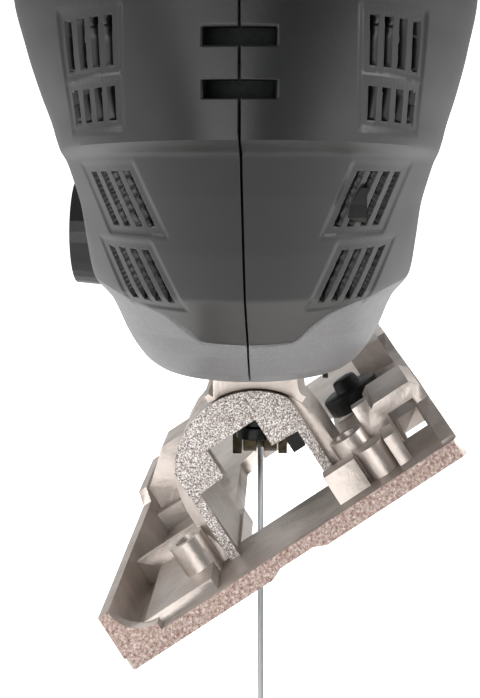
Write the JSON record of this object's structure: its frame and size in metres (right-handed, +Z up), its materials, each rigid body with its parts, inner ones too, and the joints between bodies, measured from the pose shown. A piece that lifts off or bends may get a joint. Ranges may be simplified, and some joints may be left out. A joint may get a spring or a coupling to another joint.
{
  "type": "jigsaw power tool",
  "caption": "Corded D-handle jigsaw with a tilting cast shoe, gear-driven plunger and blade, back roller, trigger and split motor housing.",
  "frame": {"origin": "a point on the flat underside of the shoe, below the tilt axis, 10 mm ahead of the shoe's rear edge", "axes": "+X to the tool's right seen from behind, +Y the way it cuts, +Z up along the blade; the shoe is stored clamped at a 33 degree bevel, right side up"},
  "size_m": [0.0858, 0.248, 0.2826],
  "materials": {
    "housing": "moulded charcoal plastic",
    "case": "satin grey painted casting",
    "shoe": "bare pressure die casting",
    "blade": "ground tool steel",
    "steel": "turned and ground steel",
    "blackened": "blackened steel",
    "bronze": "sintered bronze",
    "copper": "enamelled copper",
    "iron": "stacked electrical steel",
    "carbon": "pressed carbon",
    "nylon": "moulded nylon",
    "soft": "soft overmould",
    "clear": "clear polycarbonate"
  },
  "bodies": {
    "frame": {"housing_left": "housing", "housing_right": "housing", "case_left": "case", "case_right": "case", "stator_core": "iron", "field_coil_rear": "copper", "field_coil_front": "copper", "bearing_rear": "steel", "bearing_front": "steel", "brush_holder_left": "bronze", "brush_holder_right": "bronze", "brush_left": "carbon", "brush_right": "carbon", "gear_plate": "case", "gear_shaft": "steel", "bush_lower": "bronze", "bush_upper": "bronze", "clamp_plate": "steel", "clamp_bolt": "blackened", "grip_pad_left": "soft", "grip_pad_right": "soft", "switch_module": "nylon", "circuit_board": "nylon", "cord_gland": "soft", "chip_guard": "clear", "housing_screw_1": "blackened", "housing_screw_2": "blackened", "housing_screw_3": "blackened", "housing_screw_4": "blackened", "housing_screw_5": "blackened", "housing_screw_6": "blackened", "case_screw_1": "blackened", "case_screw_2": "blackened", "case_screw_3": "blackened", "case_screw_4": "blackened"},
    "shoe_tilt": {"shoe": "shoe"},
    "guide_clamp": {"guide_screw": "blackened"},
    "armature": {"armature_shaft": "steel", "armature_core": "iron", "commutator": "copper", "fan": "nylon", "pinion": "steel"},
    "crank": {"crank_gear": "steel", "counterweight": "iron"},
    "crank_bearing": {"crank_roller": "steel"},
    "ram": {"plunger": "steel", "yoke": "steel", "blade": "blade"},
    "collar": {"blade_clamp": "blackened"},
    "selector": {"orbit_knob": "housing"},
    "pendulum": {"pendulum_fork": "steel", "roller_pin": "steel"},
    "back_roller": {"guide_roller": "steel"},
    "clamp_handle": {"clamp_lever": "blackened"},
    "trigger": {"trigger": "nylon"},
    "lock": {"lock_button": "nylon"},
    "dial": {"speed_dial": "nylon"}
  },
  "joints": [
    {"name": "shoe_bevel", "type": "hinge", "parent": "frame", "child": "shoe_tilt", "pos_m": [0, 0.0205, 0.02015], "axis": [0, -1, 0], "range_deg": [-69, 3]},
    {"name": "guide_screw_turn", "type": "hinge", "parent": "shoe_tilt", "child": "guide_clamp", "pos_m": [0.02468, 0.055, 0.02676], "axis": [-0.5446, 0, 0.8387], "range_deg": [-180, 180]},
    {"name": "armature_spin", "type": "hinge", "parent": "frame", "child": "armature", "pos_m": [0, -0.01, 0.10615], "axis": [0, 1, 0], "continuous": true},
    {"name": "crank_spin", "type": "hinge", "parent": "frame", "child": "crank", "pos_m": [0, 0.067, 0.08265], "axis": [0, 1, 0], "continuous": true},
    {"name": "crank_roller_spin", "type": "hinge", "parent": "crank", "child": "crank_bearing", "pos_m": [0.009, 0.0757, 0.08265], "axis": [0, 1, 0], "continuous": true},
    {"name": "ram_stroke", "type": "slide", "parent": "frame", "child": "ram", "axis": [0, 0, 1], "range_m": [-0.009, 0.009]},
    {"name": "blade_collar_turn", "type": "hinge", "parent": "ram", "child": "collar", "pos_m": [0, 0.087, 0.03615], "axis": [0, 0, 1], "range_deg": [0, 40], "stiffness_Nm_per_rad": 0.06, "springref_deg": -20.05},
    {"name": "orbit_select", "type": "hinge", "parent": "frame", "child": "selector", "pos_m": [-0.037, 0.035, 0.07075], "axis": [-1, 0, 0], "range_deg": [-60, 30]},
    {"name": "pendulum_swing", "type": "hinge", "parent": "frame", "child": "pendulum", "pos_m": [0, 0.0705, 0.05015], "axis": [1, 0, 0], "range_deg": [-3, 0]},
    {"name": "back_roller_spin", "type": "hinge", "parent": "pendulum", "child": "back_roller", "pos_m": [0, 0.0769, 0.01315], "axis": [1, 0, 0], "continuous": true},
    {"name": "clamp_lever_turn", "type": "hinge", "parent": "frame", "child": "clamp_handle", "pos_m": [0, 0.0205, 0.02575], "axis": [0, 0, 1], "range_deg": [-38, 0]},
    {"name": "trigger_squeeze", "type": "slide", "parent": "frame", "child": "trigger", "axis": [0, 0, 1], "range_m": [0, 0.004], "stiffness_N_per_m": 900, "springref_m": -0.003},
    {"name": "lock_press", "type": "slide", "parent": "frame", "child": "lock", "axis": [1, 0, 0], "range_m": [0, 0.003], "stiffness_N_per_m": 700, "springref_m": -0.002},
    {"name": "dial_turn", "type": "hinge", "parent": "frame", "child": "dial", "pos_m": [0, 0.054, 0.20235], "axis": [1, 0, 0], "range_deg": [-150, 150]}
  ],
  "couplings": [
    {"joint": "crank_spin", "follows": "armature_spin", "ratio": -0.23684}
  ]
}
